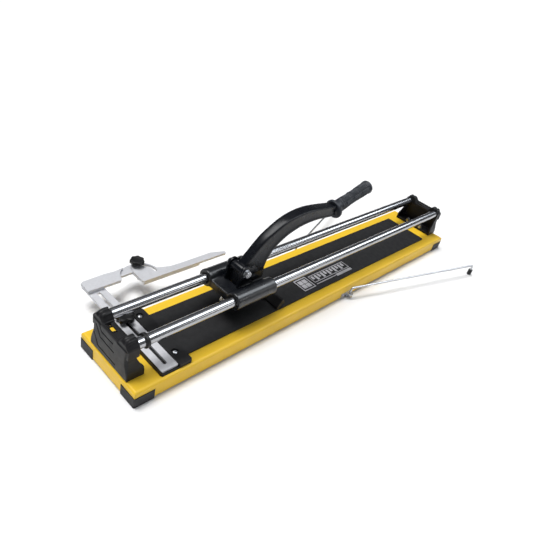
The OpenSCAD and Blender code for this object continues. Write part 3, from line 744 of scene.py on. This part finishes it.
def grip():
    body = [(grip_radius(s), s) for s in [16 + 0.7 * i for i in range(134)]]
    turns = [math.radians(degrees) for degrees in range(10, 100, 15)]
    lip = [(18.3 + 3 * math.sin(a), 3 - 3 * math.cos(a)) for a in turns]
    flange = [(9, 0.6), (17.5, 0)] + lip + [(21.3, 5), (20.6, 7.4), (19, 8.8), (17, 9.6), (15.9, 11),
                                            (15.2, 13.4), (14.6, 14.6)]
    tip = [(14.7, 110.2), (15.1, 111.4), (15.3, 113.4), (15, 115.6), (14, 117.6), (12.4, 119),
           (10.6, 119.7), (9.6, 119.2), (8.8, 118.4), (4, 118)]
    bm = bmesh.new()
    axis = (math.cos(GRIP_TILT), 0, math.sin(GRIP_TILT))
    origin = at(GRIP_AT[0], 0, GRIP_AT[1]) + Vector(axis) * GRIP_START * MM
    turned(bm, flange + body + tip, origin, axis, grip_relief, steps=192)
    dress(made("grip", bm), "handle", "grip_rubber", ["grip"], 60)


grip()

# ---- Knobs ----

HEAD_THICKNESS = 9


def lobed(radius, waist, lobes):
    """Radius by angle of a lobed knob: full at each lobe, drawn in to the waist between them."""
    def radius_at(r, _s, a):
        if r < waist * 0.8:
            return r
        wave = (0.5 + 0.5 * math.cos(lobes * a)) ** 0.8
        return r / radius * (waist + (radius - waist) * wave)
    return radius_at


def knob(name, place, radius, waist, lobes, hub, height, body):
    """A lobed head on a round hub, drawn from the bottom up."""
    bm = bmesh.new()
    rise = height - HEAD_THICKNESS
    profile = [(3.2, 0.3), (hub - 0.5, 0), (hub, 0.5), (hub, rise), (radius - 1.2, rise),
               (radius, rise + 1.2), (radius, height - 2.2), (radius - 0.6, height - 0.9),
               (radius - 1.8, height - 0.2),
               (waist * 0.78, height), (waist * 0.7, height - 0.5), (3, height - 0.7)]
    turned(bm, profile, place, (0, 0, 1), lobed(radius, waist, lobes), steps=120)
    dress(made(name, bm), body, "knob_plastic", [name], 50)


def knob_place(knob_node, stud_node):
    """The knob's underside, on the stud's axis."""
    low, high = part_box(stud_node)
    return Vector(((low[0] + high[0]) / 2, (low[1] + high[1]) / 2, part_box(knob_node)[0][2]))


knob("clamp_knob", knob_place("clamp_knob", "clamp_stud"), 18.4, 12.4, 5, 7.5, 12, "clamp")
knob("star_knob", knob_place("star_knob", "star_stud"), 14.9, 13.1, 7, 7, 12, "star")

# ---- Fasteners ----

# Where the pivot's head and nut bear, across, and the bracket bolts' heads and nuts, in height
PIVOT_SEAT = 21.6
BOLT_SEAT = -1.5
NUT_SEAT = 7.6
# Profile of a screw's domed head, and the half length and half width of a slot of its cross recess
SCREW_HEAD = ((4.8, 4.6), (4.8, 5.2), (4.5, 6.1), (3.8, 6.9), (2.6, 7.4), (1, 7.6))
CROSS = (2.6, 0.5)


def pivot_fasteners():
    bm = bmesh.new()
    nut(bm, 6.5, 4, at(PIVOT[0], -PIVOT_SEAT, PIVOT[1]), (0, -1, 0), 6.5)
    dress(made("pivot_nut", bm), "carriage", "zinc_steel", ["pivot_nut"])
    bm = bmesh.new()
    head_seat = at(PIVOT[0], PIVOT_SEAT, PIVOT[1])
    hex_bolt(bm, 6.5, 3.95, head_seat, (0, -1, 0), head=5.3, length=51, threaded=12)
    dress(made("pivot_bolt", bm), "carriage", "zinc_steel", ["pivot_bolt"])


def bracket_fasteners():
    bolts, nuts = bmesh.new(), bmesh.new()
    for x in (BRACKET_BOLT[0], LENGTH - BRACKET_BOLT[0]):
        for y in (-BRACKET_BOLT[1], BRACKET_BOLT[1]):
            hex_bolt(bolts, 5, 2.95, at(x, y, BOLT_SEAT), (0, 0, 1), head=4, length=17, threaded=9)
            nut(nuts, 5, 3, at(x, y, NUT_SEAT), (0, 0, 1), 5)
    dress(made("bracket_bolts", bolts), "base", "zinc_steel", ["bracket_bolts"])
    dress(made("bracket_nuts", nuts), "base", "zinc_steel", ["bracket_nuts"])


def block_screws():
    """Screws with a domed head and a cross recess in it."""
    bm = bmesh.new()
    for x, y in BLOCK_SCREWS:
        turned(bm, ((2.15, -7.5), (2.15, 4.6)) + SCREW_HEAD, at(x, y, 0), (0, 0, 1))
    obj = made("block_screws", bm)
    cutter = bmesh.new()
    for x, y in BLOCK_SCREWS:
        for u, v in (CROSS, CROSS[::-1]):
            prism(cutter, [(x - u, y - v), (x + u, y - v), (x + u, y + v), (x - u, y + v)], flat, 6.2, 9)
    carve(obj, cutter)
    dress(obj, "base", "zinc_steel", ["block_screws"])


pivot_fasteners()
bracket_fasteners()
block_screws()

# ---- Printed panel on the front mat: plain tile squares and a ruled strip ----

MAT_TOP = 3.0
INK = 0.12
# Frames round the squares and round the strip's bars, as x and y of two corners
BADGE = (447, -47.5, 485, -10)
SQUARE = 12
SQUARE_STEP = 13.5
RULER = (492, -37.5, 618, -14)
BARS = 11
BAR_STEP = 10.7
BAR_WIDTH = 6.5


def ink(bm, x0, y0, x1, y1, r=0.4):
    """A printed rectangle, as thick as the ink."""
    prism(bm, rounded(x0, y0, x1, y1, r), flat, MAT_TOP, MAT_TOP + INK)


def ink_frame(bm, x0, y0, x1, y1, w):
    ink(bm, x0, y0, x1, y0 + w)
    ink(bm, x0, y1 - w, x1, y1)
    ink(bm, x0, y0 + w, x0 + w, y1 - w)
    ink(bm, x1 - w, y0 + w, x1, y1 - w)


def printed_panel():
    bm = bmesh.new()
    ink_frame(bm, *BADGE, 2.6)
    for i in range(2):
        for j in range(2):
            x, y = BADGE[0] + 6 + i * SQUARE_STEP, BADGE[1] + 6 + j * SQUARE_STEP
            ink(bm, x, y, x + SQUARE, y + SQUARE, 1)
    ink_frame(bm, *RULER, 1.6)
    for i in range(BARS):
        x = RULER[0] + 5 + i * BAR_STEP
        ink(bm, x, -34 if i % 2 else -28, x + BAR_WIDTH, RULER[3] - 3.5, 1)
    ink(bm, RULER[0], -44.5, 560, -42)
    ink(bm, 562, -47.5, RULER[2], -40)
    dress(made("printed_panel", bm), "base", "print_ink")


printed_panel()

# ---- Floor, lights and camera ----


def plain_floor():
    bpy.ops.mesh.primitive_plane_add(size=60, location=(0, 0, cad_box[0][2] - 0.0002))
    floor = bpy.context.object
    floor.name = "floor"
    n = Nodes("floor_paper", Roughness=0.9, Specular_IOR_Level=0.0)
    n.color(n.mix(n.noise(3, 3), (0.95, 0.95, 0.95), (0.98, 0.98, 0.98)))
    floor.data.materials.append(n.mat)


def area_light(name, place, target, size, power, color=(1, 1, 1)):
    data = bpy.data.lights.new(name, "AREA")
    data.shape = "RECTANGLE"
    data.size, data.size_y = size
    data.energy = power
    data.color = color
    light = bpy.data.objects.new(name, data)
    light.location = place
    light.rotation_euler = (Vector(target) - Vector(place)).to_track_quat("-Z", "Y").to_euler()
    bpy.context.collection.objects.link(light)
    return light


def soft_world():
    """Grey at the horizon, a little darker part way up and pale overhead, for the rails to mirror."""
    world = bpy.data.worlds.new("soft_world")
    bpy.context.scene.world = world
    world.use_nodes = True
    tree = world.node_tree
    background = tree.nodes["Background"]
    background.inputs["Strength"].default_value = 1.0
    coords = tree.nodes.new("ShaderNodeTexCoord")
    split = tree.nodes.new("ShaderNodeSeparateXYZ")
    ramp = tree.nodes.new("ShaderNodeValToRGB")
    stops = ramp.color_ramp.elements
    stops[0].position, stops[0].color = 0.05, (0.13, 0.133, 0.14, 1)
    stops[1].position, stops[1].color = 0.95, (0.36, 0.37, 0.39, 1)
    middle = stops.new(0.6)
    middle.color = (0.1, 0.103, 0.11, 1)
    tree.links.new(coords.outputs["Generated"], split.inputs[0])
    tree.links.new(split.outputs["Z"], ramp.inputs[0])
    tree.links.new(ramp.outputs["Color"], background.inputs["Color"])


def broad_sun(strength, spread, direction):
    """A sun as wide as the spread in degrees, so that its shadows are soft."""
    data = bpy.data.lights.new("broad_sun", "SUN")
    data.energy = strength
    data.angle = math.radians(spread)
    light = bpy.data.objects.new("broad_sun", data)
    light.rotation_euler = Vector(direction).to_track_quat("-Z", "Y").to_euler()
    bpy.context.collection.objects.link(light)


def studio():
    plain_floor()
    soft_world()
    broad_sun(3.0, 34, (0.12, -0.32, -1))
    strip = area_light("sheen_strip", (1.3, -0.55, 1.5), (1.3, -0.5, 0), (2.6, 0.9), 38, (0.9, 0.95, 1))
    strip.visible_diffuse = False
    area_light("left_fill", (-1.5, -1.0, 0.8), (-0.1, 0, 0.05), (1.2, 1.0), 3)
    area_light("right_fill", (1.2, -1.6, 0.9), (0.1, 0, 0.05), (0.9, 0.5), 3)
    scene = bpy.context.scene
    scene.view_settings.view_transform = "Standard"
    scene.view_settings.look = "None"


CAMERA_AT = (-335.1, -526.4, 657.2)
CAMERA_TURN = (55.0, -11.94, -44.53)
LENS = 35.03


def camera():
    data = bpy.data.cameras.new("camera")
    data.lens = LENS
    data.sensor_width = 36
    data.clip_start = 0.01
    data.clip_end = 50
    obj = bpy.data.objects.new("camera", data)
    obj.location = at(*CAMERA_AT)
    obj.rotation_euler = [math.radians(a) for a in CAMERA_TURN]
    bpy.context.collection.objects.link(obj)
    bpy.context.scene.camera = obj


studio()
camera()
